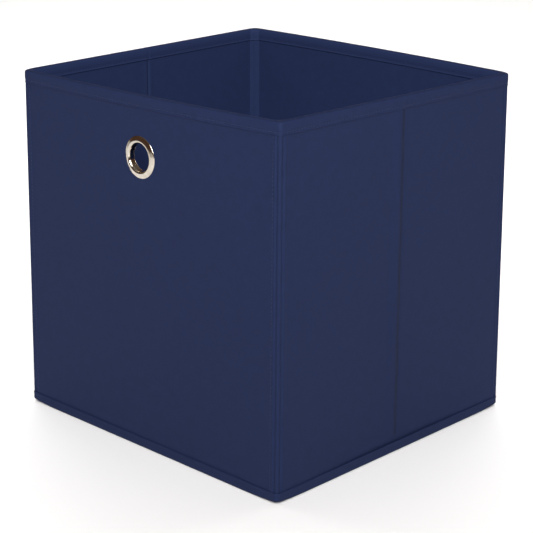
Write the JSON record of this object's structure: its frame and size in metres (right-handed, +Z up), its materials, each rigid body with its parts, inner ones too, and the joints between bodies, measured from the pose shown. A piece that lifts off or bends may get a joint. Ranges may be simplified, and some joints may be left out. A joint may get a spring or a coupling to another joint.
{
  "type": "fabric storage bin",
  "caption": "Open-topped foldable storage bin of navy non-woven cloth over card panels, with a taped rim, creased sides and a metal finger eyelet on the front.",
  "frame": {"origin": "on the floor, at the middle of the footprint over the wall covers", "axes": "+Z up, -Y out of the front wall with the eyelet, +X to the right of someone behind the bin facing +Y"},
  "size_m": [0.2996, 0.2783, 0.3],
  "materials": {
    "outer_cloth": "navy spunbond non-woven cloth with a fine point-bond emboss",
    "lining_cloth": "navy spunbond non-woven lining",
    "rim_tape": "folded navy binding tape, lock-stitched",
    "card": "grey-brown card board",
    "eyelet_metal": "pressed and nickel-plated, polished"
  },
  "bodies": {
    "back_wall": {"back_cover": "outer_cloth", "back_board": "card", "back_lining": "lining_cloth", "back_rim": "rim_tape", "rear_left_corner_strip": "outer_cloth", "rear_right_corner_strip": "outer_cloth", "bottom_cloth": "outer_cloth"},
    "right_rear": {"right_rear_cover": "outer_cloth", "right_rear_board": "card", "right_rear_lining": "lining_cloth", "right_rear_rim": "rim_tape"},
    "right_front": {"right_front_cover": "outer_cloth", "right_front_board": "card", "right_front_lining": "lining_cloth", "right_front_rim": "rim_tape"},
    "front_wall": {"front_cover": "outer_cloth", "front_board": "card", "front_lining": "lining_cloth", "front_rim": "rim_tape", "front_left_corner_strip": "outer_cloth", "front_right_corner_strip": "outer_cloth", "eyelet_face": "eyelet_metal", "eyelet_washer": "eyelet_metal"},
    "left_front": {"left_front_cover": "outer_cloth", "left_front_board": "card", "left_front_lining": "lining_cloth", "left_front_rim": "rim_tape"},
    "left_rear": {"left_rear_cover": "outer_cloth", "left_rear_board": "card", "left_rear_lining": "lining_cloth", "left_rear_rim": "rim_tape"},
    "base_board": {"base_card": "card", "base_case_bottom": "lining_cloth", "base_case_top": "lining_cloth"}
  },
  "joints": [
    {"name": "fold", "type": "hinge", "parent": "back_wall", "child": "right_rear", "pos_m": [0.145, 0.1322, 0.15], "axis": [0, 0, -1], "range_deg": [0, 89.5], "deforming": ["bottom_cloth"]},
    {"name": "right_crease", "type": "hinge", "parent": "right_rear", "child": "right_front", "pos_m": [0.1499, -0.0009, 0.15], "axis": [0, 0, 1], "range_deg": [0, 179]},
    {"name": "front_right_corner", "type": "hinge", "parent": "right_front", "child": "front_wall", "pos_m": [0.145, -0.134, 0.15], "axis": [0, 0, -1], "range_deg": [0, 89.5]},
    {"name": "front_left_corner", "type": "hinge", "parent": "front_wall", "child": "left_front", "pos_m": [-0.145, -0.134, 0.15], "axis": [0, 0, -1], "range_deg": [0, 89.5]},
    {"name": "rear_left_corner", "type": "hinge", "parent": "back_wall", "child": "left_rear", "pos_m": [-0.145, 0.1322, 0.15], "axis": [0, 0, 1], "range_deg": [0, 89.5]},
    {"name": "base_tip_up", "type": "hinge", "parent": "back_wall", "child": "base_board", "pos_m": [0, 0.1331, 0.0022], "axis": [-1, 0, 0], "range_deg": [0, 90]}
  ],
  "couplings": [
    {"joint": "right_crease", "follows": "fold", "ratio": 2},
    {"joint": "front_right_corner", "follows": "fold", "ratio": 1},
    {"joint": "front_left_corner", "follows": "fold", "ratio": 1},
    {"joint": "rear_left_corner", "follows": "fold", "ratio": 1}
  ]
}
